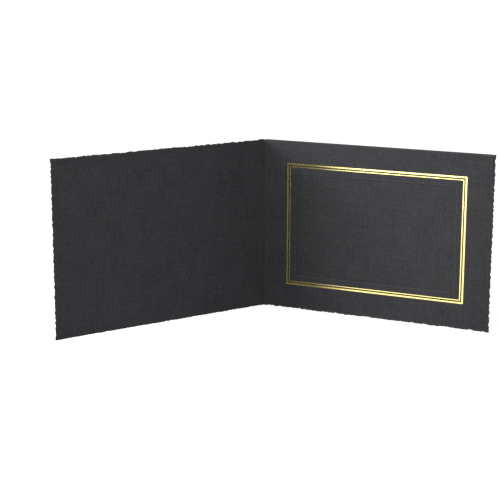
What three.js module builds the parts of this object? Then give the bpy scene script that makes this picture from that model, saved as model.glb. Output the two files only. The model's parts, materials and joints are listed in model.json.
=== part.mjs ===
// Photo folder of black board: a cover and a frame side joined along one spine crease.
// It stands open on its lower edges, with the inside of both sides towards the viewer.
// The frame side is a back panel with a windowed mat folded down over it from the top,
// glued at the spine and at the bottom, so that a print slides in from the free side.
// Lengths are in millimetres, angles in degrees, and +Z is up.
import * as THREE from "three";

// The print that the pocket takes, and the board around it. The panel grows with the print.
const PRINT_WIDTH = 152.4;
const PRINT_HEIGHT = 101.6;
const SPINE_MARGIN = 21.9;
const FREE_MARGIN = 22.55;
const FOOT_MARGIN = 21.9;
const HEAD_MARGIN = 19.4;
const COVER_SHORT = 1.85;
const BOARD = 0.45;
const POCKET = 0.3;
const FILM = 0.02;

// The spine crease and how far the cover stands open.
const OPEN_ANGLE = 121;
const CLOSED_CLEARANCE = 0.35;
const CREASE_GAP = 0.15;
const SPINE_INSET = 0.8;
const SPINE_FACETS = 8;

// The deckled cut: two waves added together, with the tips left flat on the nominal edge.
// Mean and swing are shares of the depth, and each edge starts its waves at a phase of its own.
const DECKLE_DEPTH = 0.9;
const COVER_FOOT_DEPTH = 0.45;
const DECKLE_LONG = 6.9;
const DECKLE_SHORT = 4.1;
const DECKLE_STEP = 1.05;
const DECKLE_MEAN = 0.4;
const DECKLE_SWING = 0.3;
const PHASE_SPREAD = 2.3;
const BACK_FOOT_PHASE = 0.4;
const BACK_FREE_PHASE = 1.9;
const COVER_FOOT_PHASE = 2.7;
const COVER_FREE_PHASE = 3.6;
const COVER_HEAD_PHASE = 5.1;
const CORNER_FLAT = 2.2;

// The window laps over each side of the print.
const WINDOW_LAP = 7.94;

// The mat stands back from three edges of the back panel, and its fold runs along the fourth.
const MAT_INSET_SPINE = 1.5;
const MAT_INSET_FREE = 2.3;
const MAT_INSET_FOOT = 1.2;
const FOLD_GAP = 0.15;
const FOLD_FACETS = 12;

// The stamped border: an inner line and a wider outer line.
const BORDER_OFFSET = 5.3;
const INNER_LINE = 1.0;
const LINE_GAP = 0.8;
const OUTER_LINE = 1.7;
const FOIL = 0.05;
const FOIL_CORNER = 0.6;
const CORNER_FACETS = 4;

// Glue strips between the two plies.
const GLUE_WIDTH = 8;
const PRINT_PLAY = 0.8;
const GLUE_END = 12;

// Overall size.
const panelWidth = SPINE_MARGIN + PRINT_WIDTH + FREE_MARGIN;
const panelHeight = FOOT_MARGIN + PRINT_HEIGHT + HEAD_MARGIN;
const coverWidth = panelWidth - COVER_SHORT;

// Depths of the plies, measured from the crease axis, which lies in the middle of the closed stack.
const stack = 3 * BOARD + POCKET + FILM + FOIL + CLOSED_CLEARANCE;
const backRear = stack / 2;
const backFront = backRear - BOARD;
const matRear = backFront - POCKET;
const matFront = matRear - BOARD;
const foilRear = matFront - FILM;

// Lines that several pieces share.
const foldRadius = BOARD + POCKET / 2;
const foldCentre = panelHeight - foldRadius;
const foldEnd = panelWidth - MAT_INSET_FREE;
const windowX = SPINE_MARGIN + PRINT_WIDTH / 2;
const windowZ = FOOT_MARGIN + PRINT_HEIGHT / 2;
const windowWidth = PRINT_WIDTH - 2 * WINDOW_LAP;
const windowHeight = PRINT_HEIGHT - 2 * WINDOW_LAP;

const board = new THREE.MeshStandardMaterial({ color: 0x3b3b3e, roughness: 0.85 });
const insideBoard = new THREE.MeshStandardMaterial({ color: 0x353538, roughness: 0.85 });
const gold = new THREE.MeshStandardMaterial({ color: 0xd9b65a, roughness: 0.25, metalness: 1 });
const glue = new THREE.MeshStandardMaterial({ color: 0xe6e2d6, roughness: 0.6 });

function named(name, geometry, material) {
  const mesh = new THREE.Mesh(geometry, material.clone());
  mesh.name = name;
  return mesh;
}

// Depth of the deckle at a distance along an edge of a given length, nothing near the corners.
function bite(distance, length, depth, phase) {
  const long = Math.sin((2 * Math.PI * distance) / DECKLE_LONG + phase);
  const short = Math.sin((2 * Math.PI * distance) / DECKLE_SHORT + PHASE_SPREAD * phase);
  const fromEnd = Math.min(distance, length - distance);
  const fade = THREE.MathUtils.smoothstep(fromEnd, CORNER_FLAT, 2 * CORNER_FLAT);
  return depth * fade * Math.max(0, DECKLE_MEAN + DECKLE_SWING * (long + short));
}

// Points of one deckled edge from start towards end, bitten in on the left of the way along it.
function deckledEdge(start, end, depth, phase) {
  const along = end.clone().sub(start);
  const length = along.length();
  along.normalize();
  const inward = new THREE.Vector2(-along.y, along.x);
  const count = Math.round(length / DECKLE_STEP);
  const points = [];
  for (let i = 0; i < count; i += 1) {
    const distance = (length * i) / count;
    const depthHere = bite(distance, length, depth, phase);
    points.push(start.clone().addScaledVector(along, distance).addScaledVector(inward, depthHere));
  }
  return points;
}

// The outline without points that lie on the straight line between their neighbours.
function lean(points) {
  return points.filter((point, i) => {
    const before = points[(i + points.length - 1) % points.length];
    const after = points[(i + 1) % points.length];
    const turn = point.clone().sub(before).cross(after.clone().sub(point));
    return Math.abs(turn) > 1e-7;
  });
}

// A corner point in the plane of a panel: distance from the crease, then height.
function at(x, z) {
  return new THREE.Vector2(x, z);
}

function rectangle(centreX, centreZ, width, height) {
  const x = width / 2;
  const z = height / 2;
  return [
    at(centreX - x, centreZ - z),
    at(centreX + x, centreZ - z),
    at(centreX + x, centreZ + z),
    at(centreX - x, centreZ + z),
  ];
}

// A rectangle with small round corners, as a path of straight sides and quarter circles.
function roundedPath(path, centreX, centreZ, width, height, radius) {
  const x = width / 2 - radius;
  const z = height / 2 - radius;
  path.moveTo(centreX - x, centreZ - z - radius);
  path.absarc(centreX + x, centreZ - z, radius, -Math.PI / 2, 0, false);
  path.absarc(centreX + x, centreZ + z, radius, 0, Math.PI / 2, false);
  path.absarc(centreX - x, centreZ + z, radius, Math.PI / 2, Math.PI, false);
  path.absarc(centreX - x, centreZ - z, radius, Math.PI, 1.5 * Math.PI, false);
  return path;
}

// A flat sheet that stands upright: its outline in width and height, from its rear face forwards.
function standingSheet(shape, rear, thickness) {
  const options = { depth: thickness, bevelEnabled: false, curveSegments: CORNER_FACETS };
  const geometry = new THREE.ExtrudeGeometry(shape, options);
  geometry.rotateX(Math.PI / 2);
  geometry.translate(0, rear, 0);
  return geometry;
}

// A slice of a tube wall about the origin, between two angles in degrees.
function tubeSlice(inner, outer, from, to, facets) {
  const points = [];
  for (let i = 0; i <= facets; i += 1) {
    const angle = THREE.MathUtils.degToRad(from + ((to - from) * i) / facets);
    points.push(new THREE.Vector2(outer * Math.cos(angle), outer * Math.sin(angle)));
  }
  for (let i = facets; i >= 0; i -= 1) {
    const angle = THREE.MathUtils.degToRad(from + ((to - from) * i) / facets);
    points.push(new THREE.Vector2(inner * Math.cos(angle), inner * Math.sin(angle)));
  }
  return new THREE.Shape(points);
}

// Back panel: deckled at the foot and the free edge, with a small ear past the end of the fold.
function backPanel() {
  const ear = panelHeight - FILM;
  const outline = [
    ...deckledEdge(at(CREASE_GAP, 0), at(panelWidth, 0), DECKLE_DEPTH, BACK_FOOT_PHASE),
    ...deckledEdge(at(panelWidth, 0), at(panelWidth, ear), DECKLE_DEPTH, BACK_FREE_PHASE),
    at(panelWidth, ear),
    at(foldEnd + FOLD_GAP, ear),
    at(foldEnd + FOLD_GAP, foldCentre - FILM),
    at(CREASE_GAP, foldCentre - FILM),
  ];
  const geometry = standingSheet(new THREE.Shape(lean(outline)), backRear, BOARD);
  return named("back_panel", geometry, insideBoard);
}

// Mat: a straight-cut sheet with the window, in front of the pocket.
function frameMat() {
  const left = MAT_INSET_SPINE;
  const shape = new THREE.Shape([
    at(left, MAT_INSET_FOOT),
    at(foldEnd, MAT_INSET_FOOT),
    at(foldEnd, foldCentre - FILM),
    at(left, foldCentre - FILM),
  ]);
  shape.holes.push(new THREE.Path(rectangle(windowX, windowZ, windowWidth, windowHeight)));
  return named("frame_mat", standingSheet(shape, matRear, BOARD), board);
}

// Top fold: the board bent over from the back panel to the mat.
function topFold() {
  const shape = tubeSlice(POCKET / 2, foldRadius, 0, 180, FOLD_FACETS);
  const length = foldEnd - MAT_INSET_SPINE;
  const geometry = new THREE.ExtrudeGeometry(shape, { depth: length, bevelEnabled: false });
  const turn = new THREE.Matrix4().makeBasis(
    new THREE.Vector3(0, 1, 0),
    new THREE.Vector3(0, 0, 1),
    new THREE.Vector3(1, 0, 0),
  );
  geometry.applyMatrix4(turn);
  geometry.translate(MAT_INSET_SPINE, backFront - POCKET / 2, foldCentre);
  return named("top_fold", geometry, board);
}

// One stamped line: a thin frame a given distance outside the window.
function foilLine(name, offset, width) {
  const innerWidth = windowWidth + 2 * offset;
  const innerHeight = windowHeight + 2 * offset;
  const outerWidth = innerWidth + 2 * width;
  const outerHeight = innerHeight + 2 * width;
  const shape = new THREE.Shape();
  roundedPath(shape, windowX, windowZ, outerWidth, outerHeight, FOIL_CORNER);
  const hole = new THREE.Path();
  roundedPath(hole, windowX, windowZ, innerWidth, innerHeight, FOIL_CORNER / 2);
  shape.holes.push(hole);
  return named(name, standingSheet(shape, foilRear, FOIL), gold);
}

// One glue strip, filling the pocket between the plies.
function glueStrip(name, left, right, low, high) {
  const outline = [at(left, low), at(right, low), at(right, high), at(left, high)];
  const thickness = POCKET - 2 * FILM;
  return named(name, standingSheet(new THREE.Shape(outline), backFront - FILM, thickness), glue);
}

// Spine fold: the board bent round the crease axis from the back panel to the cover.
function spineFold() {
  const shape = tubeSlice(backFront, backRear, 90, 270 - OPEN_ANGLE, SPINE_FACETS);
  const height = panelHeight - 2 * SPINE_INSET;
  const geometry = new THREE.ExtrudeGeometry(shape, { depth: height, bevelEnabled: false });
  geometry.translate(0, 0, SPINE_INSET);
  return named("spine_fold", geometry, board);
}

// Cover: made as it lies when closed, in front of the mat, and then swung open.
function coverPanel() {
  const foot = at(CREASE_GAP, 0);
  const footCorner = at(coverWidth, 0);
  const headCorner = at(coverWidth, panelHeight);
  const head = at(CREASE_GAP, panelHeight);
  const outline = [
    ...deckledEdge(foot, footCorner, COVER_FOOT_DEPTH, COVER_FOOT_PHASE),
    ...deckledEdge(footCorner, headCorner, DECKLE_DEPTH, COVER_FREE_PHASE),
    ...deckledEdge(headCorner, head, DECKLE_DEPTH, COVER_HEAD_PHASE),
    head,
  ];
  const geometry = standingSheet(new THREE.Shape(lean(outline)), -backFront, BOARD);
  geometry.rotateZ(THREE.MathUtils.degToRad(-OPEN_ANGLE));
  return named("cover_panel", geometry, board);
}

const folder = new THREE.Group();
folder.name = "photo_folder";
folder.add(backPanel());
folder.add(frameMat());
folder.add(topFold());
folder.add(foilLine("foil_line_inner", BORDER_OFFSET, INNER_LINE));
folder.add(foilLine("foil_line_outer", BORDER_OFFSET + INNER_LINE + LINE_GAP, OUTER_LINE));

const stripTop = FOOT_MARGIN - PRINT_PLAY;
const stripSide = SPINE_MARGIN - PRINT_PLAY;
const stripLeft = stripSide - GLUE_WIDTH;
folder.add(glueStrip("glue_strip_foot", stripLeft, foldEnd - GLUE_END, stripTop - GLUE_WIDTH, stripTop));
folder.add(glueStrip("glue_strip_spine", stripLeft, stripSide, stripTop + FILM, foldCentre - GLUE_END));

folder.add(spineFold());
folder.add(coverPanel());

// The origin is the middle of the footprint, on the table.
const box = new THREE.Box3().setFromObject(folder, true);
folder.position.set(-(box.min.x + box.max.x) / 2, -(box.min.y + box.max.y) / 2, -box.min.z);

export default folder;
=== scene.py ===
# %% [markdown]
# # A standing photo folder
# The real thing is one long sheet of black, linen-embossed board. A crease turns it into a cover and a
# frame side, and a second fold along the top brings a windowed mat down over the frame side. Two gold
# lines are stamped round the window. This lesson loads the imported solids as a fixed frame, then makes
# each ply of board again as a fine surface with a torn edge, a stamped groove or a soft bend, and gives
# it a worked finish.

# %% Load the frame
import json
import math
import bpy
import numpy as np
from mathutils import Euler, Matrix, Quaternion, Vector


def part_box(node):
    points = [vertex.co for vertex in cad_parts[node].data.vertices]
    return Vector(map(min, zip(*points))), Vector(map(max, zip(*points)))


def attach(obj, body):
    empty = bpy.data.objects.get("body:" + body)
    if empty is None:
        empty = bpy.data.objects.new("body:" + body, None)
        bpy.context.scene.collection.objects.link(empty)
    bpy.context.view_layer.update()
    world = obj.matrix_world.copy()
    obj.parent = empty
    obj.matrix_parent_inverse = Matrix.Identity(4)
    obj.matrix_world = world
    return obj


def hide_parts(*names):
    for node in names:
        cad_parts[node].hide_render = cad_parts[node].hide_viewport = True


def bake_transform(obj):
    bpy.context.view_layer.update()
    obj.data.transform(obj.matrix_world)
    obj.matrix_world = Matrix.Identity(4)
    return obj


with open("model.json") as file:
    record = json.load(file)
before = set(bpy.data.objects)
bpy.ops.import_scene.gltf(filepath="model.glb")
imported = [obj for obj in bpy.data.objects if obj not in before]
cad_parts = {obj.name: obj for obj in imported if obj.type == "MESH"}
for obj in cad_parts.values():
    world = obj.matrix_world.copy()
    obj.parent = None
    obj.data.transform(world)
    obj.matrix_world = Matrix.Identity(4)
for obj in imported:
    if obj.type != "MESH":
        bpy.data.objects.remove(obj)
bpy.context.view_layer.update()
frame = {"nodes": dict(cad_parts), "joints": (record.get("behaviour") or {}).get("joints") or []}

print("solids in the frame:", sorted(frame["nodes"]))

# %% [markdown]
# ## Where the folder lies
# Everything is measured from the spine crease, because that is how a folder is laid out: so far along
# the sheet from the crease, so high above the table, so deep from the crease's own axis. The joint in
# the record gives the axis and how far the cover stands open. Lengths are kept in millimetres and
# turned into metres only when a mesh is made, since board is a fraction of a millimetre thick.

# %% Sizes from the frame
MILLI = 0.001
crease_joint = frame["joints"][0]
crease_x = crease_joint["pos_m"][0] / MILLI
crease_y = crease_joint["pos_m"][1] / MILLI
open_turn = -math.radians(crease_joint["range_deg"][1])


def node_box(node):
    """Lowest and highest corner of a solid, in millimetres."""
    low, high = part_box(node)
    return np.array(low) / MILLI, np.array(high) / MILLI


def stand(along, depth, height, turn=0.0):
    """A point of the laid-out sheet in the row frame: along and depth are turned about the crease axis,
    and the height stays."""
    along, depth, height = np.broadcast_arrays(along, depth, height)
    x = crease_x + along * math.cos(turn) - depth * math.sin(turn)
    y = crease_y + along * math.sin(turn) + depth * math.cos(turn)
    return np.stack([x, y, height], axis=-1).astype(float)


back_low, back_high = node_box("back_panel")
fold_low, fold_high = node_box("top_fold")
mat_low, mat_high = node_box("frame_mat")
cover_low = node_box("cover_panel")[0]
spine_low, spine_high = node_box("spine_fold")
board = back_high[1] - back_low[1]
back_front = back_low[1] - crease_y
back_rear = back_high[1] - crease_y
panel_start = back_low[0] - crease_x
panel_end = back_high[0] - crease_x
panel_top = fold_high[2]
cover_end = (cover_low[0] - crease_x - back_rear * math.sin(open_turn)) / math.cos(open_turn)
print(f"panel {panel_end:.2f} x {panel_top:.2f} mm, cover {cover_end:.2f} mm, board {board:.3f} mm")

# %% [markdown]
# ## The camera
# A long lens some way off keeps the two panels almost parallel-sided. The camera stands to the right of
# the frame side, a little above it, and looks down by about thirteen degrees. Its place was found by
# fitting the corners of the open panels, so it is written as an offset from the foot of the crease.

# %% Camera
PICTURE_PIXELS = 500
FOCAL_PIXELS = 1347.5
SENSOR_MM = 36.0
CAMERA_OFFSET = (465.41, -1011.18, 301.76)
CAMERA_HEADING = math.radians(25.312)
CAMERA_PITCH = math.radians(12.837)
CAMERA_ROLL = math.radians(0.115)

camera_data = bpy.data.cameras.new("viewpoint")
camera_data.sensor_width = SENSOR_MM
camera_data.lens = SENSOR_MM * FOCAL_PIXELS / PICTURE_PIXELS
camera = bpy.data.objects.new("viewpoint", camera_data)
camera.location = Vector(stand(*CAMERA_OFFSET) * MILLI)
level_view = Euler((math.pi / 2 - CAMERA_PITCH, 0.0, CAMERA_HEADING)).to_quaternion()
camera.rotation_euler = (level_view @ Quaternion((0.0, 0.0, 1.0), CAMERA_ROLL)).to_euler()
bpy.context.scene.collection.objects.link(camera)
bpy.context.scene.camera = camera
print(f"lens {camera_data.lens:.2f} mm at {tuple(round(v, 3) for v in camera.location)}")

# %% [markdown]
# ## From arrays to pieces
# Every piece below is worked out as whole arrays of points, then handed to one helper. It makes the
# mesh, turns it the right way out by the sign of its volume, and stores two things on every point that
# the finishes need: its place on the laid-out sheet, so that the linen pattern runs on round the folds,
# and how much of a pale or deep edge it is: real wear on torn lips and the spine, partly painted
# highlight on the top fold's crown and the cut edges, partly painted darker reflection on the gold's sides.

# %% Mesh helpers
def make_piece(name, points, faces, place, rim, smooth, sharp):
    """A closed mesh from points in millimetres. The volume is the sum of tetrahedra from the origin to
    each triangle, so a negative one means that the faces look inwards and have to be turned. Edges that
    bend by more than the sharp angle stay crisp."""
    mesh = bpy.data.meshes.new(name)
    mesh.from_pydata((points * MILLI).tolist(), [], faces)
    mesh.polygons.foreach_set("use_smooth", np.asarray(smooth, bool))
    mesh.calc_loop_triangles()
    corners = np.zeros(len(mesh.loop_triangles) * 3, np.int32)
    mesh.loop_triangles.foreach_get("vertices", corners)
    a, b, c = points[corners.reshape(-1, 3)].transpose(1, 0, 2)
    volume = np.einsum("ij,ij->i", a, np.cross(b, c)).sum() / 6
    if volume < 0:
        mesh.flip_normals()
    sheet_place = mesh.attributes.new("sheet", "FLOAT_VECTOR", "POINT")
    sheet_place.data.foreach_set("vector", place.astype(np.float32).ravel())
    # Edge paleness: real wear, plus painted highlight on crown and cut edges and painted darker reflection on
    # gold sides.
    rim_wear_and_painted_light = mesh.attributes.new("rim", "FLOAT", "POINT")
    rim_wear_and_painted_light.data.foreach_set("value", rim.astype(np.float32))
    mesh.update()
    piece = bpy.data.objects.new(name, mesh)
    bpy.context.scene.collection.objects.link(piece)
    mesh.set_sharp_from_angle(angle=sharp)
    print(f"{name}: {len(points)} points, {len(mesh.loop_triangles)} triangles, {abs(volume):.1f} cubic mm")
    return piece


def grid_faces(rows, columns, close_rows, close_columns):
    """Quads between neighbours of a grid of points numbered row by row. A closed direction joins its
    last line to its first."""
    row = np.arange(rows if close_rows else rows - 1)[:, None]
    column = np.arange(columns if close_columns else columns - 1)[None, :]
    next_row = (row + 1) % rows
    next_column = (column + 1) % columns
    corners = [row * columns + column, row * columns + next_column,
               next_row * columns + next_column, next_row * columns + column]
    return np.stack(np.broadcast_arrays(*corners), axis=-1).reshape(-1, 4)


print("mesh helpers ready")

# %% [markdown]
# ## The torn edge
# The free edges of the board are deckled: cut with a ragged die so that they look hand torn. Seen
# close, such an edge has slow scallops a few millimetres long, small nicks on them, and a thin
# feathered lip. The scallops use the same two waves as the solids, so the outline agrees with them. The
# nicks are random heights, from a fixed seed, joined by smooth steps. Two kinds of tear are told apart
# by their numbers: an even one with clear scallops for the free edges, and a loose one, mostly nicks,
# for head and foot.

# %% Deckle
EDGE_STEP = 0.4
DECKLE_DEPTH = 0.9
COVER_FOOT_DEPTH = 0.45
DECKLE_LONG = 6.9
DECKLE_SHORT = 4.1
DECKLE_MEAN = 0.4
PHASE_SPREAD = 2.3
CORNER_FLAT = 2.2
EVEN_TEAR = {"swing": 0.20, "nicks": ((3.3, 0.20), (1.6, 0.16), (0.7, 0.09))}
LOOSE_TEAR = {"swing": 0.05, "nicks": ((6.0, 0.18), (3.0, 0.20), (1.4, 0.38), (0.7, 0.20))}


def smooth_step(value, low, high):
    """0 below low, 1 above high, and an S curve between."""
    share = np.clip((value - low) / (high - low), 0.0, 1.0)
    return share * share * (3.0 - 2.0 * share)


def nicks(distance, step, seed):
    """Random heights from -1 to 1 every step along the edge, joined by smooth steps."""
    heights = np.random.default_rng(seed).uniform(-1.0, 1.0, int(distance.max() / step) + 3)
    cell = np.floor(distance / step).astype(int)
    share = smooth_step(distance / step - cell, 0.0, 1.0)
    return heights[cell] * (1.0 - share) + heights[cell + 1] * share


def deckle(distance, length, depth, phase, seed, tear):
    """How deep a torn edge is bitten in: the mean, plus two sine waves by the tear's swing, plus the
    tear's nicks, all a share of the depth. It never goes outwards, and fades to nothing near the
    corners."""
    waves = np.sin(2 * np.pi * distance / DECKLE_LONG + phase)
    waves = waves + np.sin(2 * np.pi * distance / DECKLE_SHORT + PHASE_SPREAD * phase)
    share = DECKLE_MEAN + tear["swing"] * waves
    for number, (step, swing) in enumerate(tear["nicks"]):
        share = share + swing * nicks(distance, step, seed + number)
    from_end = np.minimum(distance, length - distance)
    return depth * smooth_step(from_end, CORNER_FLAT, 2 * CORNER_FLAT) * np.maximum(0.0, share)


def edge_points(start, end):
    """Even steps along an edge, about one step length apart."""
    return np.linspace(start, end, int(end / EDGE_STEP))


print("points along a panel's edge:", len(edge_points(panel_start, panel_end)))

# %% [markdown]
# ## A sheet of board
# A panel is a rectangle whose four edges may be bitten in. It could be a solidified plane, but then
# every edge would be the same square cut. Instead the outline is carried through an edge profile, from
# the front face over the lip to the rear face. Where the edge is torn the profile is a feathered lip,
# and where it is cut it is nearly square. Each face then closes on a line along the middle of the
# sheet, so no face is larger than a thin strip.

# %% Edge profile
RIM_WIDTH = 2.4
TORN_INSET = np.array([RIM_WIDTH, 1.15, 0.40, 0.12, 0.0, 0.0, 0.14, 0.50, 1.15, RIM_WIDTH])
TORN_DEPTH = np.array([0.0, 0.0, 0.02, 0.12, 0.30, 0.46, 0.64, 0.84, 0.96, 1.0])
CUT_INSET = np.array([RIM_WIDTH, 1.15, 0.35, 0.05, 0.0, 0.0, 0.05, 0.35, 1.15, RIM_WIDTH])
CUT_DEPTH = np.array([0.0, 0.0, 0.0, 0.01, 0.12, 0.88, 0.99, 1.0, 1.0, 1.0])
EDGES = ("foot", "free", "head", "crease")


def outline(along, height, bites, inset):
    """The bitten rectangle moved in by an inset, anticlockwise from the foot of the crease side. A bite
    fades out over the rim's width, and the points of a side are spread between its two bitten
    corners."""
    keep = 1.0 - min(inset / RIM_WIDTH, 1.0)
    along_share = (along - along[0]) / (along[-1] - along[0])
    height_share = (height - height[0]) / (height[-1] - height[0])
    foot = height[0] + inset + keep * bites["foot"]
    head = height[-1] - inset - keep * bites["head"]
    crease = along[0] + inset + keep * bites["crease"]
    free = along[-1] - inset - keep * bites["free"]
    sides = {
        "foot": (crease[0] + along_share * (free[0] - crease[0]), foot),
        "free": (free, foot[-1] + height_share * (head[-1] - foot[-1])),
        "head": ((crease[-1] + along_share * (free[-1] - crease[-1]))[::-1], head[::-1]),
        "crease": (crease[::-1], (foot[0] + height_share * (head[0] - foot[0]))[::-1]),
    }
    return np.concatenate([np.stack(sides[edge], axis=-1)[:-1] for edge in EDGES])


def edge_rings(along, height, bites, torn_share, front, rear):
    """One ring of points for each station of the edge profile: the outline at that station's inset and
    depth, a mix of the torn and the cut profile by each edge's share."""
    rings = []
    for torn_inset, torn_depth, cut_inset, cut_depth in zip(TORN_INSET, TORN_DEPTH, CUT_INSET, CUT_DEPTH):
        torn_ring = outline(along, height, bites, torn_inset)
        cut_ring = outline(along, height, bites, cut_inset)
        flat = torn_ring * torn_share + cut_ring * (1.0 - torn_share)
        share = torn_depth * torn_share + cut_depth * (1.0 - torn_share)
        rings.append(np.concatenate([flat, front + (rear - front) * share], axis=1))
    return rings


print("edge profile stations:", len(TORN_INSET))

# %% [markdown]
# ## Closing the sheet
# Each face is closed by strips from its innermost ring to the line along the middle. Points of the foot
# and the head each have a partner on the line; all points of the free side share the line's one end,
# and all points of the crease side the other, so those strips are triangles. Only the torn stretches of
# the rim are shaded smooth. A cut edge keeps its flat sides.

# %% Sheet
LINE_INSET = 45.0
LIP_WEAR = 0.15
SHEET_SHARP = math.radians(35.0)


def closing_strips(ring_start, line_start, line_index, facing_rear):
    """Faces from a ring of points to the line in the middle: a quad where two neighbours have two
    partners on the line, and a triangle where they share one."""
    index = np.arange(len(line_index))
    next_index = np.roll(index, -1)
    next_line = np.roll(line_index, -1)
    strip = np.stack([ring_start + index, ring_start + next_index,
                      line_start + next_line, line_start + line_index], axis=-1)
    fans = strip[line_index == next_line][:, :3]
    quads = strip[line_index != next_line]
    order = slice(None) if facing_rear else slice(None, None, -1)
    return quads[:, order].tolist() + fans[:, order].tolist()


def sheet_piece(name, along, height, bites, torn, front, rear, turn):
    """A sheet between two depths, turned about the crease: the rings of its edge profile, then the two
    lines that close its faces. The lip's paling falls from the edge to the second station."""
    counts = {"foot": len(along), "free": len(height), "head": len(along), "crease": len(height)}
    torn_share = np.concatenate([np.full(counts[edge] - 1, torn[edge]) for edge in EDGES])[:, None]
    rings = edge_rings(along, height, bites, torn_share, front, rear)
    round_count = len(rings[0])
    line_along = np.linspace(along[0] + LINE_INSET, along[-1] - LINE_INSET, len(along))
    line_height = np.full(len(along), (height[0] + height[-1]) / 2)
    lines = [np.stack([line_along, line_height, np.full(len(along), depth)], axis=-1)
             for depth in (front, rear)]
    flat_points = np.concatenate(rings + lines)
    last_partner = len(along) - 1
    line_index = np.concatenate([np.arange(last_partner), np.full(len(height) - 1, last_partner),
                                 np.arange(last_partner, 0, -1), np.zeros(len(height) - 1, int)])
    faces = grid_faces(len(rings), round_count, False, True).tolist()
    rim_faces = len(faces)
    last_ring = (len(rings) - 1) * round_count
    front_line = len(rings) * round_count
    faces += closing_strips(0, front_line, line_index, False)
    faces += closing_strips(last_ring, front_line + len(along), line_index, True)
    smooth = np.zeros(len(faces), bool)
    smooth[:rim_faces] = np.tile(torn_share[:, 0] > 0.0, len(rings) - 1)
    lip = np.repeat(np.clip(1.0 - TORN_INSET / TORN_INSET[1], 0.0, 1.0), round_count)
    torn_lip = LIP_WEAR * lip * np.tile(torn_share[:, 0], len(rings))
    rim = np.concatenate([torn_lip, np.zeros(2 * len(along))])
    points = stand(flat_points[:, 0], flat_points[:, 2], flat_points[:, 1], turn)
    return make_piece(name, points, faces, flat_points, rim, smooth, SHEET_SHARP)


print("lines that close a sheet lie", LINE_INSET, "mm in from its ends")

# %% [markdown]
# ## The cover
# The cover is one ply, torn at its head, its free edge and, more gently, its foot. It is laid out
# closed, with its inner face towards the mat, and then turned open about the crease.

# %% Cover
COVER_PHASES = {"foot": 2.7, "free": 3.6, "head": 5.1}
COVER_SEEDS = {"foot": 11, "free": 21, "head": 31}
COVER_TORN = {"foot": 0.6, "free": 1.0, "head": 1.0, "crease": 0.0}
cover_along = edge_points(panel_start, cover_end)
cover_height = edge_points(0.0, panel_top)
cover_length = cover_end - panel_start
cover_bites = {
    "foot": deckle(cover_along - panel_start, cover_length, COVER_FOOT_DEPTH,
                   COVER_PHASES["foot"], COVER_SEEDS["foot"], LOOSE_TEAR),
    "free": deckle(cover_height, panel_top, DECKLE_DEPTH,
                   COVER_PHASES["free"], COVER_SEEDS["free"], EVEN_TEAR),
    "head": deckle(cover_end - cover_along, cover_length, DECKLE_DEPTH,
                   COVER_PHASES["head"], COVER_SEEDS["head"], LOOSE_TEAR),
    "crease": np.zeros(len(cover_height)),
}
cover_board = sheet_piece("cover_board", cover_along, cover_height, cover_bites, COVER_TORN,
                          -back_front, -back_rear, open_turn)
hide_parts("cover_panel")
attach(cover_board, "cover")
print(f"deepest bite at the cover's free edge {cover_bites['free'].max():.2f} mm")

# %% [markdown]
# ## The back panel
# The rear ply of the frame side is torn at its foot and free edge. Along the top it runs into the fold,
# except for a small ear at the free corner, where the fold stops short and the ply stands up to the
# full height. The ear is made as a bite that covers the whole head and lets go at the corner, over a
# short slope, because a sheet's edge profile can follow a slope but would fold over itself at a square
# step.

# %% Back panel
BACK_PHASES = {"foot": 0.4, "free": 1.9}
BACK_SEEDS = {"foot": 41, "free": 51}
BACK_TORN = {"foot": 1.0, "free": 1.0, "head": 0.0, "crease": 0.0}
EAR_GAP = 0.1
EAR_SLOPE = 1.0
back_top = back_high[2]
ear_depth = back_top - (fold_low[2] - (panel_top - back_top))
ear_start = fold_high[0] - crease_x + EAR_GAP
back_along = np.union1d(edge_points(panel_start, panel_end), [ear_start, ear_start + EAR_SLOPE])
back_height = edge_points(0.0, back_top)
back_bites = {
    "foot": deckle(back_along - panel_start, panel_end - panel_start, DECKLE_DEPTH,
                   BACK_PHASES["foot"], BACK_SEEDS["foot"], LOOSE_TEAR),
    "free": deckle(back_height, back_top, DECKLE_DEPTH,
                   BACK_PHASES["free"], BACK_SEEDS["free"], EVEN_TEAR),
    "head": ear_depth * np.clip(1.0 - (back_along - ear_start) / EAR_SLOPE, 0.0, 1.0),
    "crease": np.zeros(len(back_height)),
}
back_board = sheet_piece("back_board", back_along, back_height, back_bites, BACK_TORN,
                         back_front, back_rear, 0.0)
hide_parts("back_panel")
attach(back_board, "frame_side")
print(f"ear {ear_depth:.2f} mm high, from {ear_start:.2f} mm along the head")

# %% [markdown]
# ## Window, lines and mat
# The window and the gold lines are nested rectangles, measured along and up the sheet from the crease.
# The foil solids give the outer edge of each line, and the widths lead inwards from there to the
# window.

# %% Window and lines
OUTER_LINE = 1.7
INNER_LINE = 1.0
BORDER_OFFSET = 5.3


def node_edges(node):
    """Low and high corner of a solid, along the sheet and up it."""
    low, high = node_box(node)
    return np.array([low[0] - crease_x, low[2]]), np.array([high[0] - crease_x, high[2]])


outer_low, outer_high = node_edges("foil_line_outer")
inner_low, inner_high = node_edges("foil_line_inner")
mat_start, mat_end = node_edges("frame_mat")
window_low = inner_low + INNER_LINE + BORDER_OFFSET
window_high = inner_high - INNER_LINE - BORDER_OFFSET
mat_front = mat_low[1] - crease_y
mat_rear = mat_high[1] - crease_y
print("window", (window_high - window_low).round(2), "mm in a mat of", (mat_end - mat_start).round(2), "mm")

# %% [markdown]
# ## How pressed board settles
# The mat does not stand off evenly. Where the top fold holds the plies apart it keeps its distance, but
# it lies back against the rear ply at its free edge and a little round the window, and its free edge is
# pressed thin. One formula moves every point of the mat, and of the gold on it, so they stay together.

# %% Settling
GROOVE_WALL = 0.12
SETTLE_FREE = 0.26
SETTLE_WINDOW = 0.08
SETTLE_RUN = 14.0
PRESS_FREE = 0.24
PRESS_RUN = 4.0


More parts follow.
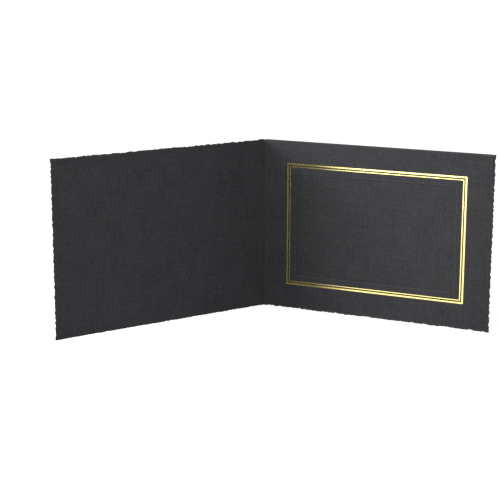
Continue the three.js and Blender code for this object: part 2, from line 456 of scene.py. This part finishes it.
def settled(along, height, depth):
    """Depth after pressing: the ply lies back by an S curve towards the free edge and another towards
    the window's edge, and its front is pressed thinner along the free edge. Nothing moves where the top
    fold holds the plies."""
    below_fold = smooth_step(mat_end[1] - height, 0.0, SETTLE_RUN)
    to_free = smooth_step(along, mat_end[0] - SETTLE_RUN, mat_end[0])
    pressed = smooth_step(along, mat_end[0] - PRESS_RUN, mat_end[0]) * (mat_rear - depth) / board
    across = np.maximum(window_low[0] - along, along - window_high[0])
    upwards = np.maximum(window_low[1] - height, height - window_high[1])
    to_window = 1.0 - smooth_step(np.maximum(across, upwards), 0.0, BORDER_OFFSET - GROOVE_WALL)
    return depth + below_fold * (SETTLE_FREE * to_free + PRESS_FREE * pressed) + SETTLE_WINDOW * to_window


free_middle = settled(mat_end[0], mat_end[1] / 2, mat_front)
print(f"the mat's front lies back by {free_middle - mat_front:.2f} mm at its free edge")

# %% [markdown]
# ## A ring of board or foil
# Mat and gold lines are rings, so they are made as rings: a closed profile carried round a rectangle
# that grows and shrinks with it. That keeps every line straight and every corner mitred, which a grid
# with a hole cut in it would not.

# %% Rings
CORNER_POINTS = 6
SIDE_POINTS = 24
RING_SHARP = math.radians(10.0)


def rounded_rectangle(low, high, radius):
    """Points round a rectangle with rounded corners: for each corner in turn, a quarter circle about a
    centre that lies a radius in from both sides, then even steps along the side to the next corner."""
    angle = np.linspace(0.0, np.pi / 2, CORNER_POINTS)
    centres = np.array([[high[0] - radius, high[1] - radius], [low[0] + radius, high[1] - radius],
                        [low[0] + radius, low[1] + radius], [high[0] - radius, low[1] + radius]])
    turns = angle[None, :] + np.arange(4)[:, None] * np.pi / 2
    corners = centres[:, None, :] + radius * np.stack([np.cos(turns), np.sin(turns)], axis=-1)
    share = np.linspace(0.0, 1.0, SIDE_POINTS + 2)[None, 1:-1, None]
    next_corner = np.roll(corners, -1, axis=0)
    sides = corners[:, -1:] * (1.0 - share) + next_corner[:, :1] * share
    return np.concatenate([corners, sides], axis=1).reshape(-1, 2)


def ring_piece(name, stations, rim_share):
    """A closed profile carried round a rectangle. A station is the rectangle's low and high corner, its
    corner radius and its depth, and stations follow each other round the profile. Each point then
    settles back with its ply."""
    loops = [rounded_rectangle(low, high, radius) for low, high, radius, depth in stations]
    flat = np.concatenate(loops)
    depths = np.repeat([depth for low, high, radius, depth in stations], len(loops[0]))
    depths = settled(flat[:, 0], flat[:, 1], depths)
    faces = grid_faces(len(loops), len(loops[0]), True, True)
    points = stand(flat[:, 0], depths, flat[:, 1])
    place = np.stack([flat[:, 0], flat[:, 1], depths], axis=-1)
    rim = np.repeat(np.asarray(rim_share, float), len(loops[0]))
    return make_piece(name, points, faces.tolist(), place, rim, np.ones(len(faces), bool), RING_SHARP)


print("points round a ring:", 4 * (CORNER_POINTS + SIDE_POINTS))

# %% [markdown]
# ## The mat and its stamped grooves
# The mat is the front ply, with a window cut out of it and two grooves pressed into it where the hot
# die laid the foil. Its profile runs out from the window across the two grooves to the outer edge, and
# back behind. The cut edges are painted a little paler, partly for the cut fibre that stands up there
# and partly as a painted highlight where a cut face catches the light.

# %% Mat profile
GROOVE_DEPTH = 0.07
CUT_ROUND = 0.05
LINE_RADIUS = 0.6
CORNER_SHARP = 0.08
STRIP_SHARES = (0.25, 0.5, 0.75)
MARGIN_SHARES = (0.3, 0.5, 0.7, 0.85, 0.95)


def rings_between(inner, outer, shares, depth):
    """Stations whose rectangles lie part of the way from an inner one to an outer one, all at one depth."""
    low_step = outer[0] - inner[0]
    high_step = outer[1] - inner[1]
    return [(inner[0] + low_step * share, inner[1] + high_step * share, CORNER_SHARP, depth)
            for share in shares]


def groove(low, high, width):
    """Stations of one pressed groove, from its inner side to its outer side: lip, floor, floor, lip."""
    inner = (low + width, high - width)
    steps = []
    for grow, depth in ((-GROOVE_WALL, 0.0), (0.0, GROOVE_DEPTH)):
        steps.append((inner[0] - grow, inner[1] + grow, CORNER_SHARP, mat_front + depth))
    for grow, depth in ((0.0, GROOVE_DEPTH), (GROOVE_WALL, 0.0)):
        steps.append((low - grow, high + grow, LINE_RADIUS, mat_front + depth))
    return steps


def turned_back(shares):
    """The same steps counted from the other end."""
    return [1.0 - share for share in shares[::-1]]


window_edge = (window_low - CUT_ROUND, window_high + CUT_ROUND)
mat_edge = (mat_start + CUT_ROUND, mat_end - np.array([CUT_ROUND, 0.0]))
inner_lip = (inner_low + INNER_LINE + GROOVE_WALL, inner_high - INNER_LINE - GROOVE_WALL)
outer_lip = (outer_low - GROOVE_WALL, outer_high + GROOVE_WALL)
window_cut = [(*window_edge, CORNER_SHARP, mat_rear),
              (window_low, window_high, CORNER_SHARP, mat_rear - CUT_ROUND),
              (window_low, window_high, CORNER_SHARP, mat_front + CUT_ROUND),
              (*window_edge, CORNER_SHARP, mat_front)]
mat_face = rings_between(window_edge, inner_lip, STRIP_SHARES, mat_front)
mat_face += groove(inner_low, inner_high, INNER_LINE)
mat_face += groove(outer_low, outer_high, OUTER_LINE)
mat_face += rings_between(outer_lip, mat_edge, MARGIN_SHARES, mat_front)
mat_cut = [(*mat_edge, CORNER_SHARP, mat_front),
           (mat_start, mat_end, CORNER_SHARP, mat_front + CUT_ROUND),
           (mat_start, mat_end, CORNER_SHARP, mat_rear - CUT_ROUND),
           (*mat_edge, CORNER_SHARP, mat_rear)]
mat_back = rings_between(mat_edge, outer_lip, turned_back(MARGIN_SHARES) + [1.0], mat_rear)
mat_back += rings_between(inner_lip, window_edge, [0.0] + turned_back(STRIP_SHARES), mat_rear)
print("stations round the mat's profile:", len(window_cut + mat_face + mat_cut + mat_back))

# %% Mat
# Cut edges painted paler: partly cut fibre, partly a painted highlight on the cut faces.
CUT_FIBRE_AND_HIGHLIGHT = [0.3, 1.0, 1.0, 0.3]
mat_rim_paling = CUT_FIBRE_AND_HIGHLIGHT + [0.0] * len(mat_face) + CUT_FIBRE_AND_HIGHLIGHT + [0.0] * len(mat_back)
mat_board = ring_piece("mat_board", window_cut + mat_face + mat_cut + mat_back, mat_rim_paling)
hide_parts("frame_mat")
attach(mat_board, "frame_side")

# %% [markdown]
# ## The gold lines
# Hot stamping leaves a film of foil in the bottom of each groove, a little crowned because the board
# springs back in the middle. Each line is the same kind of ring as the mat: a low dome across the
# groove and a flat back. The colour deepens from the middle of a line to its sides, partly where the
# film is thinnest and partly as a painted darker reflection for the sides of the dome.

# %% Foil lines
FOIL_GAP = 0.012
FOIL_CROWN = 0.06
FOIL_SIDE = 0.2
FOIL_ACROSS = 13
DOME_POWER = 4
SIDE_DEEPEN_POWER = 1.1


def foil_piece(name, low, high, width):
    """A flat-topped dome across the line: from its sides it rises with one minus the fourth power of
    the distance from the middle, and one flat station behind closes each side."""
    share = np.linspace(0.0, 1.0, FOIL_ACROSS)
    from_middle = np.abs(2.0 * share - 1.0)
    floor = mat_front + GROOVE_DEPTH - FOIL_GAP
    dome = floor - FOIL_CROWN * (FOIL_SIDE + (1.0 - FOIL_SIDE) * (1.0 - from_middle ** DOME_POWER))
    stations = [(low + width * (1 - s), high - width * (1 - s), LINE_RADIUS * s + CORNER_SHARP, d)
                for s, d in zip(share, dome)]
    stations += [(low, high, LINE_RADIUS + CORNER_SHARP, floor),
                 (low + width, high - width, CORNER_SHARP, floor)]
    # Painted darker reflection, in part, with the thinner film: deeper towards the line's sides.
    side_deepening = np.concatenate([from_middle ** SIDE_DEEPEN_POWER, [1.0, 1.0]])
    return ring_piece(name, stations, side_deepening)


gold_line_outer = foil_piece("gold_line_outer", outer_low, outer_high, OUTER_LINE)
gold_line_inner = foil_piece("gold_line_inner", inner_low, inner_high, INNER_LINE)
for line, node in ((gold_line_outer, "foil_line_outer"), (gold_line_inner, "foil_line_inner")):
    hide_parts(node)
    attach(line, "frame_side")

# %% [markdown]
# ## The fold over the top
# Along the top the board is bent right over, from the rear ply to the mat. A bend is a strip of the
# same board with an outer and an inner curve, so one helper carries such a pair of curves along a
# straight path. It serves for the spine as well.

# %% Bent strip
BEND_POINTS = 17
BEND_SHARP = math.radians(40.0)
# Crown paling: real wear on the spine's crown, and in part a painted highlight on the top fold's crown.
CROWN_WEAR_AND_HIGHLIGHT = 0.2


def bent_strip(name, outer, inner, path, lay, place_of, rim_of):
    """A strip with two curves: outer and inner points side by side, carried along the path. lay turns a
    curve point and a path value into the row frame, and the two ends are closed by the strip between
    the curves."""
    loop = np.concatenate([outer, inner[::-1]])
    count = len(loop)
    curve = np.tile(loop, (len(path), 1))
    along_path = np.repeat(path, count)
    faces = grid_faces(len(path), count, False, True).tolist()
    sides = len(faces)
    step = np.arange(len(outer) - 1)
    end = np.stack([step, step + 1, count - 2 - step, count - 1 - step], axis=-1)
    last = (len(path) - 1) * count
    faces += end[:, ::-1].tolist() + (end + last).tolist()
    smooth = np.arange(len(faces)) < sides
    number = np.tile(np.arange(count), len(path))
    return make_piece(name, lay(curve, along_path), faces, place_of(number, along_path), rim_of(number),
                      smooth, BEND_SHARP)


print("points across a bend:", BEND_POINTS)

# %% Top bend
TOP_POINTS = 120
fold_middle = (back_front + mat_rear) / 2
fold_outer = (fold_high[1] - fold_low[1]) / 2
fold_inner = fold_outer - board
fold_base = fold_low[2]
top_run = fold_base - mat_end[1]
top_angle = np.linspace(0.0, np.pi, BEND_POINTS)
top_curve = np.stack([-np.cos(top_angle), np.sin(top_angle)], axis=-1)
top_path = np.linspace(fold_low[0], fold_high[0], TOP_POINTS) - crease_x
run_angle = np.concatenate([[0.0], top_angle, [np.pi]])
top_arc = np.concatenate([run_angle, run_angle[::-1]])


def over_the_top(radius):
    """Half a turn about the fold's centre line, with a short straight run down to each ply."""
    arc = radius * top_curve
    run = np.array([[0.0, top_run]])
    return np.concatenate([arc[:1] - run, arc, arc[-1:] - run])


def lay_top(curve, path):
    """The curve stands across the sheet about the fold's centre line."""
    return stand(path, fold_middle + curve[:, 0], fold_base + curve[:, 1])


def top_place(number, path):
    """The sheet's own place: along the path, and up by the arc that the board has run round the fold."""
    return np.stack([path, fold_base + fold_outer * top_arc[number], 0.0 * path], axis=-1)


def top_rim(number):
    """The outer curve is painted paler by the square of the sine, most along the crown: partly rubbed
    fibre, partly a painted highlight where the crown faces the light from above.
    """
    # Painted highlight, in part, along the top fold's crown.
    return np.where(number < len(run_angle), CROWN_WEAR_AND_HIGHLIGHT * np.sin(top_arc[number]) ** 2, 0.0)


top_bend = bent_strip("top_bend", over_the_top(fold_outer), over_the_top(fold_inner), top_path,
                      lay_top, top_place, top_rim)
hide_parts("top_fold")
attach(top_bend, "frame_side")

# %% [markdown]
# ## The spine
# Between the cover and the frame side the board is bent about the crease axis. It stops just short of
# head and foot, as a crease does where the board is crushed.

# %% Spine bend
SPINE_POINTS = 90
TONGUE = 0.14
FOOT_NOTCH = 0.12
HEAD_NOTCH = 0.4
flat_turn = math.pi + open_turn
spine_angle = np.linspace(0.0, flat_turn, BEND_POINTS)
spine_curve = np.stack([-np.sin(spine_angle), np.cos(spine_angle)], axis=-1)
frame_way = np.array([1.0, 0.0])
cover_way = np.array([math.cos(open_turn), math.sin(open_turn)])
middle_radius = (back_rear + back_front) / 2
spine_run = middle_radius * spine_angle
spine_length = np.concatenate([[TONGUE], -spine_run, [-spine_run[-1] - TONGUE]])
spine_along = np.concatenate([spine_length, spine_length[::-1]])
crown = np.sin(np.linspace(0.0, np.pi, BEND_POINTS))
spine_wear = CROWN_WEAR_AND_HIGHLIGHT * np.concatenate([[0.0], crown, [0.0], np.zeros(len(spine_length))])
spine_path = np.linspace(FOOT_NOTCH, panel_top - HEAD_NOTCH, SPINE_POINTS)


def with_tongues(radius):
    """The arc of a radius about the crease axis, with a short straight run into each panel."""
    arc = radius * spine_curve
    return np.concatenate([[arc[0] + TONGUE * frame_way], arc, [arc[-1] + TONGUE * cover_way]])


def lay_spine(curve, path):
    """The curve lies flat about the crease axis, and the path runs up it."""
    return stand(curve[:, 0], curve[:, 1], path)


def spine_place(number, path):
    """The sheet's own place: along by the middle of the bend's thickness, and up the path."""
    return np.stack([spine_along[number], path, 0.0 * path], axis=-1)


def spine_rim(number):
    """The outer curve wears pale by the sine, most in the middle of the bend."""
    return spine_wear[number]


spine_bend = bent_strip("spine_bend", with_tongues(back_rear), with_tongues(back_front), spine_path,
                        lay_spine, spine_place, spine_rim)
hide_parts("spine_fold")
middle_height = (spine_low[2] + spine_high[2]) / 2
bend_start = stand(middle_radius * spine_curve[0, 0], middle_radius * spine_curve[0, 1], middle_height)
bend_end = stand(middle_radius * spine_curve[-1, 0], middle_radius * spine_curve[-1, 1], middle_height)
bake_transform(spine_bend)

# %% [markdown]
# ## Writing finishes as sums
# A finish is a small sum of patterns. One class wraps a socket, so that the sums read as ordinary
# arithmetic and each operation adds its node. Any other node comes from one method of the same class.

# %% Shader sums
class Wire:
    """A socket in a node tree. Arithmetic on wires adds Math nodes, and node() adds any other node."""

    def __init__(self, tree, socket=None):
        self.tree = tree
        self.socket = socket

    def node(self, kind, settings=None, inputs=None, output=0):
        """Adds a node: its settings first, then its inputs as numbers or wires; gives back one output."""
        made = self.tree.nodes.new(kind)
        for key, value in (settings or {}).items():
            setattr(made, key, value)
        for key, value in (inputs or {}).items():
            if isinstance(value, Wire):
                self.tree.links.new(value.socket, made.inputs[key])
            else:
                made.inputs[key].default_value = value
        return Wire(self.tree, made.outputs[output])

    def math(self, operation, first, second):
        """One Math node on two numbers or wires."""
        return self.node("ShaderNodeMath", {"operation": operation}, {0: first, 1: second})

    def __add__(self, other):
        return self.math("ADD", self, other)

    def __radd__(self, other):
        return self.math("ADD", other, self)

    def __sub__(self, other):
        return self.math("SUBTRACT", self, other)

    def __rsub__(self, other):
        return self.math("SUBTRACT", other, self)

    def __mul__(self, other):
        return self.math("MULTIPLY", self, other)

    def __rmul__(self, other):
        return self.math("MULTIPLY", other, self)

    def stretched(self, scale):
        """A vector multiplied part by part."""
        return self.node("ShaderNodeVectorMath", {"operation": "MULTIPLY"}, {0: self, 1: scale})

    def held(self, name, output="Fac"):
        """What a mesh holds on its points under a name."""
        return self.node("ShaderNodeAttribute", {"attribute_name": name}, output=output)

    def noise(self, place, scale, detail, roughness=0.5, dimensions="3D"):
        """Noise from 0 to 1 with its mean near a half."""
        inputs = {"Vector": place, "Scale": scale, "Detail": detail, "Roughness": roughness}
        return self.node("ShaderNodeTexNoise", {"noise_dimensions": dimensions}, inputs)

    def bump(self, height, distance, strength):
        """A normal that leans with the slope of a height; the distance is in metres."""
        return self.node("ShaderNodeBump", {}, {"Height": height, "Distance": distance, "Strength": strength})

    def blend_colours(self, first, second):
        """The first colour where this wire is 0, the second where it is 1."""
        return self.node("ShaderNodeMix", {"data_type": "RGBA"}, {0: self, 6: first, 7: second}, output=2)


def new_finish(name, constants):
    """A material with its own node tree and the constants of its shader: gives the material, a wire to
    start from and the shader node."""
    material = bpy.data.materials.new(name)
    material.use_nodes = True
    shader = material.node_tree.nodes["Principled BSDF"]
    for socket, value in constants.items():
        shader.inputs[socket].default_value = value
    return material, Wire(material.node_tree), shader


def feed(wire, shader, name):
    """Links a wire to one of the shader's sockets."""
    wire.tree.links.new(wire.socket, shader.inputs[name])


print("shader helper ready")

# %% [markdown]
# ## Linen-embossed board
# The board is dyed black right through and rolled against a steel linen pattern. The pattern is not a
# regular weave: threads run along and up the sheet, each a good half millimetre wide. Most come and go
# after a few millimetres, and a few run on for some centimetres. Noises stretched each way give both
# kinds, a finer one gives the paper fibre, and a slow one the cloudiness of the dye. The thread noises
# that raise the relief also paint the colour lighter on raised threads and darker between them: painted
# light and shade of the emboss. The torn lips and the spine's crown are a little paler where fibres
# stand up; the top fold's crown and the cut edges are painted paler, partly for fibre and partly as a
# painted highlight.

# %% Linen threads
SHORT_THREAD = (1.25, 0.2)
LONG_THREAD = (0.95, 0.03)
SHORT_SHARE = 0.7
LONG_SHARE = 0.42
THREAD_DETAIL = 3.0
THREAD_ROUGHNESS = 0.6


def linen_threads(start, sheet):
    """Sums of two noises on the sheet's own millimetres, a short thread and a long one, plus what
    brings the mean back to a half: first the threads that run up the sheet, then those that run along
    it."""
    level_up = (1.0 - SHORT_SHARE - LONG_SHARE) / 2
    threads = []
    for order in (slice(None), slice(None, None, -1)):
        short_place = sheet.stretched((*SHORT_THREAD[order], 0.0))
        long_place = sheet.stretched((*LONG_THREAD[order], 0.0))
        short = start.noise(short_place, 1.0, THREAD_DETAIL, THREAD_ROUGHNESS, "2D")
        long = start.noise(long_place, 1.0, THREAD_DETAIL, THREAD_ROUGHNESS, "2D")
        threads.append(SHORT_SHARE * short + LONG_SHARE * long + level_up)
    return threads


print("a short thread is about", 1 / SHORT_THREAD[1], "mm long, a long one", round(1 / LONG_THREAD[1]), "mm")

# %% Linen board
FIBRE_NOISE = {"scale": 6.0, "detail": 2.0}
CLOUD_NOISE = {"scale": 0.06, "detail": 3.0, "dimensions": "2D"}
RELIEF_THREAD = 0.5
RELIEF_FIBRE = 0.14
PAINTED_THREAD_SHADE = 1.8
SHADE_FIBRE = 0.2
SHADE_CLOUD = 0.45
PALE_EDGE_LEAST = 0.25
BOARD_DULL = {"base": 0.66, "fibre": 0.12, "thread": 0.08}
BOARD_RELIEF = {"distance": 0.0003, "strength": 0.8}
# Dark and light span the dye's own tone and the painted shade of the threads; the pale edge colour is real
# wear on torn lips and the spine, and in part a painted highlight on the top crown and cut edges.
OUTSIDE_DYE_AND_SHADE = {"dark": (0.028, 0.028, 0.0311, 1), "light": (0.051, 0.051, 0.0567, 1),
               "worn_and_highlit": (0.12, 0.12, 0.1295, 1)}
INSIDE_DYE_AND_SHADE = {"dark": (0.028, 0.028, 0.0304, 1), "light": (0.051, 0.051, 0.0554, 1),
              "worn_and_highlit": (0.12, 0.12, 0.127, 1)}


def linen_board(name, dye_and_shade):
    """The finish reads the sheet's own millimetres, so the threads keep their size on every piece. The
    shade is a half plus threads, fibre and cloud, each about its mean, and runs from the dark colour to
    the light one. The threads' share is painted light and shade of the emboss, lighter where it stands up."""
    material, start, shader = new_finish(name, {"Specular IOR Level": 0.1})
    sheet = start.held("sheet", "Vector")
    upright, level = linen_threads(start, sheet)
    fibre = start.noise(sheet, **FIBRE_NOISE)
    cloud = start.noise(sheet, **CLOUD_NOISE)
    # Painted light and shade of the emboss: the threads that raise the relief are painted lighter.
    shade = PAINTED_THREAD_SHADE * (upright + level - 1.0) + SHADE_FIBRE * (fibre - 0.5)
    shade = shade + SHADE_CLOUD * (cloud - 0.5) + 0.5
    # Pale edges: real wear on torn lips and the spine, in part a painted highlight on the top crown and cut
    # edges.
    fluff_and_highlight = start.held("rim") * (PALE_EDGE_LEAST + (1.0 - PALE_EDGE_LEAST) * fibre)
    dyed_and_relief_shaded = shade.blend_colours(dye_and_shade["dark"], dye_and_shade["light"])
    feed(fluff_and_highlight.blend_colours(dyed_and_relief_shaded, dye_and_shade["worn_and_highlit"]), shader, "Base Color")
    dull = BOARD_DULL["base"] + BOARD_DULL["fibre"] * fibre + BOARD_DULL["thread"] * level
    feed(dull, shader, "Roughness")
    relief = RELIEF_THREAD * upright + RELIEF_THREAD * level + RELIEF_FIBRE * fibre
    feed(start.bump(relief, **BOARD_RELIEF), shader, "Normal")
    return material


outside_board = linen_board("linen_board", OUTSIDE_DYE_AND_SHADE)
inside_board = linen_board("linen_board_inside", INSIDE_DYE_AND_SHADE)
for piece in (cover_board, mat_board, top_bend, spine_bend):
    piece.data.materials.append(outside_board)
back_board.data.materials.append(inside_board)
print("linen board on", [piece.name for piece in (cover_board, mat_board, top_bend, spine_bend, back_board)])

# %% [markdown]
# ## Gold foil
# The foil is a bright metal film over embossed board. It mirrors the white room, broken up by the faint
# linen below it. Towards the sides of each line the colour deepens, partly where the film thins and
# partly as a painted darker reflection.

# %% Gold
GRAIN_NOISE = {"scale": 2.2, "detail": 3.0}
SLOW_NOISE = {"scale": 0.25, "detail": 2.0}
RELIEF_GRAIN = 0.15
DEEPEN_SIDE = 1.1
DEEPEN_GRAIN = 0.4
GOLD_DULL = {"base": 0.13, "grain": 0.14, "slow": 0.06}
GOLD_RELIEF = {"distance": 0.00012, "strength": 0.7}
BRIGHT_GOLD = (0.92, 0.83, 0.345, 1)
DEEP_GOLD = (0.22, 0.14, 0.012, 1)


def stamped_gold(name):
    """Metal whose colour deepens by the rim, partly for thinner film and partly as a painted darker
    reflection at the sides of a line, and a little by the grain, with a fine relief of threads and grain
    that breaks up the reflection."""
    material, start, shader = new_finish(name, {"Metallic": 1.0})
    sheet = start.held("sheet", "Vector")
    grain = start.noise(sheet, **GRAIN_NOISE)
    slow = start.noise(sheet, **SLOW_NOISE)
    upright, level = linen_threads(start, sheet)
    # The rim's deepening is partly a painted darker reflection at the sides of each line.
    deepen = DEEPEN_SIDE * start.held("rim") + DEEPEN_GRAIN * (grain - 0.5)
    feed(deepen.blend_colours(BRIGHT_GOLD, DEEP_GOLD), shader, "Base Color")
    feed(GOLD_DULL["base"] + GOLD_DULL["grain"] * grain + GOLD_DULL["slow"] * slow, shader, "Roughness")
    relief = RELIEF_THREAD * upright + RELIEF_THREAD * level + RELIEF_GRAIN * grain
    feed(start.bump(relief, **GOLD_RELIEF), shader, "Normal")
    return material


gold = stamped_gold("stamped_gold")
for line in (gold_line_outer, gold_line_inner):
    line.data.materials.append(gold)
print("gold on", gold_line_outer.name, gold_line_inner.name)

# %% [markdown]
# ## Dried glue
# Two strips of white glue hold the mat down. They lie between the plies, and only their ends can be
# glimpsed, so the solids stay and get a finish of their own: slightly yellowed, lumpy where it was
# pressed out, half shiny.

# %% Glue
LUMP_NOISE = {"scale": 450.0, "detail": 3.0}
GLUE_DULL = {"base": 0.35, "lumps": 0.3}
GLUE_RELIEF = {"distance": 0.0002, "strength": 0.6}
YELLOWED_GLUE = (0.72, 0.66, 0.52, 1)
WHITE_GLUE = (0.84, 0.81, 0.72, 1)


def dried_glue(name):
    """Lumps of noise set the colour, the shine and the relief. Object coordinates are enough here,
    because a strip lies flat and nothing runs on from it."""
    material, start, shader = new_finish(name, {})
    place = start.node("ShaderNodeTexCoord", output="Object")
    lumps = start.noise(place, **LUMP_NOISE)
    feed(lumps.blend_colours(YELLOWED_GLUE, WHITE_GLUE), shader, "Base Color")
    feed(GLUE_DULL["base"] + GLUE_DULL["lumps"] * lumps, shader, "Roughness")
    feed(start.bump(lumps, **GLUE_RELIEF), shader, "Normal")
    return material


glue = dried_glue("dried_glue")
for node in ("glue_strip_foot", "glue_strip_spine"):
    frame["nodes"][node].data.materials.clear()
    frame["nodes"][node].data.materials.append(glue)
print("glue on the two strips")

# %% [markdown]
# ## The table
# The folder stands on a wide white table. The table glows a little, so that it shows as plain white
# right up to the top of the picture, but it is hidden from soft light, so the board is not lit from
# below. Otherwise its upright faces would turn pale at the foot.

# %% Table
TABLE_HALF = 14.0
TABLE_POINTS = 9
TABLE_DROP = 0.00005
TABLE_LOOK = {"Roughness": 0.7, "Specular IOR Level": 0.2, "Emission Color": (1.0, 1.0, 1.0, 1.0),
              "Emission Strength": 0.68}
MOTTLE_NOISE = {"scale": 3.0, "detail": 2.0}
TABLE_SHADES = ((0.79, 0.79, 0.79, 1), (0.81, 0.81, 0.81, 1))


def flat_object(name, points, count):
    """A square grid of points in metres, joined by quads, as an object of its own."""
    mesh = bpy.data.meshes.new(name)
    mesh.from_pydata(points.reshape(-1, 3).tolist(), [], grid_faces(count, count, False, False).tolist())
    made = bpy.data.objects.new(name, mesh)
    bpy.context.scene.collection.objects.link(made)
    return made


table_line = np.linspace(-TABLE_HALF, TABLE_HALF, TABLE_POINTS)
table_x, table_y = np.meshgrid(table_line, table_line)
table_points = np.stack([table_x, table_y, np.full_like(table_x, -TABLE_DROP)], axis=-1)
table = flat_object("table", table_points, TABLE_POINTS)
table.visible_diffuse = False
white_paint, start, shader = new_finish("white_table", TABLE_LOOK)
mottle = start.noise(start.node("ShaderNodeTexCoord", output="Object"), **MOTTLE_NOISE)
feed(mottle.blend_colours(*TABLE_SHADES), shader, "Base Color")
table.data.materials.append(white_paint)
print("table", TABLE_HALF * 2, "m square")

# %% [markdown]
# ## Two cards for the gold
# Metal shows what stands round it. A bright card lies on the table in front of the frame side and grows
# brighter further out on the left, where the upper line looks. A black one stands in front of the
# crease, fading out towards the right, so the gold runs from deep to bright along the border. Both show
# in reflections only.

# %% Cards
CARD_POINTS = 61
CARD_LIFT = 0.1
BRIGHT_CARD = {"low": (-600.0, -1500.0), "high": (500.0, -55.0), "near": 0.38,
               "rise": (420.0, 540.0), "end": (0.0, 90.0)}
BRIGHT_LOOK = {"Base Color": (0.0, 0.0, 0.0, 1.0), "Emission Strength": 6.0}
BLACK_CARD = {"low": (-18.0, 0.0), "high": (80.0, panel_top), "away": 45.0, "fade": 55.0, "cover": 0.99}
BLACK_LOOK = {"Base Color": (0.02, 0.02, 0.02, 1.0), "Roughness": 0.9}


def card_grid(card):
    """An even grid of points between a card's two corners, as two arrays."""
    low, high = card["low"], card["high"]
    return np.meshgrid(np.linspace(low[0], high[0], CARD_POINTS), np.linspace(low[1], high[1], CARD_POINTS))


def reflected_card(name, points, strength, look, socket):
    """A card that only reflections see. Its strength, held on every point, feeds one socket of its finish."""
    card = flat_object(name, points * MILLI, CARD_POINTS)
    point_strength = card.data.attributes.new("strength", "FLOAT", "POINT")
    point_strength.data.foreach_set("value", strength.astype(np.float32).ravel())
    card.visible_camera = False
    card.visible_diffuse = False
    card.visible_transmission = False
    card.visible_shadow = False
    material, start, shader = new_finish(name, look)
    feed(start.held("strength"), shader, socket)
    card.data.materials.append(material)
    print(f"{name}: strength from {strength.min():.2f} to {strength.max():.2f}")


card_along, card_depth = card_grid(BRIGHT_CARD)
far_out = smooth_step(-card_depth, *BRIGHT_CARD["rise"])
to_the_left = 1.0 - smooth_step(card_along, *BRIGHT_CARD["end"])
card_glow = BRIGHT_CARD["near"] + (1.0 - BRIGHT_CARD["near"]) * far_out * to_the_left
bright_points = stand(card_along, card_depth, CARD_LIFT)
reflected_card("bright_card", bright_points, card_glow, BRIGHT_LOOK, "Emission Color")

card_along, card_height = card_grid(BLACK_CARD)
card_cover = BLACK_CARD["cover"] * smooth_step(BLACK_CARD["high"][0] - card_along, 0.0, BLACK_CARD["fade"])
black_points = stand(card_along, -BLACK_CARD["away"], card_height)
reflected_card("black_card", black_points, card_cover, BLACK_LOOK, "Alpha")

# %% [markdown]
# ## The light
# A white room lights every face alike. A lamp low on the left, some way off, lights the frame side past
# the edge of the cover, so the frame side grows darker towards the crease. A weak lamp above and in
# front, much nearer, lifts the upper part of the panels a little.

# %% Light
WORLD_STRENGTH = 0.45
LAMPS = {
    "left_lamp": {"power": 13.0, "size": (0.3, 0.25), "turn": -47.0, "rise": 11.0, "distance": 1300.0},
    "top_lamp": {"power": 0.9, "size": (0.4, 0.2), "turn": 0.0, "rise": 52.0, "distance": 480.0},
}
room = bpy.data.worlds.new("white_room")
room.use_nodes = True
room.node_tree.nodes["Background"].inputs["Color"].default_value = (1.0, 1.0, 1.0, 1.0)
room.node_tree.nodes["Background"].inputs["Strength"].default_value = WORLD_STRENGTH
bpy.context.scene.world = room
frame_middle = Vector(stand(panel_end / 2, 0.0, panel_top / 2) * MILLI)
for name, lamp in LAMPS.items():
    light = bpy.data.lights.new(name, "AREA")
    light.energy = lamp["power"]
    light.shape = "RECTANGLE"
    light.size, light.size_y = lamp["size"]
    turn = math.radians(lamp["turn"])
    rise = math.radians(lamp["rise"])
    way = Vector((math.sin(turn) * math.cos(rise), -math.cos(turn) * math.cos(rise), math.sin(rise)))
    holder = bpy.data.objects.new(name, light)
    holder.location = frame_middle + way * lamp["distance"] * MILLI
    holder.rotation_euler = (-way).to_track_quat("-Z", "Y").to_euler()
    bpy.context.scene.collection.objects.link(holder)
    print(name, "at", tuple(round(v, 3) for v in holder.location))
bpy.context.scene.view_settings.view_transform = "Standard"
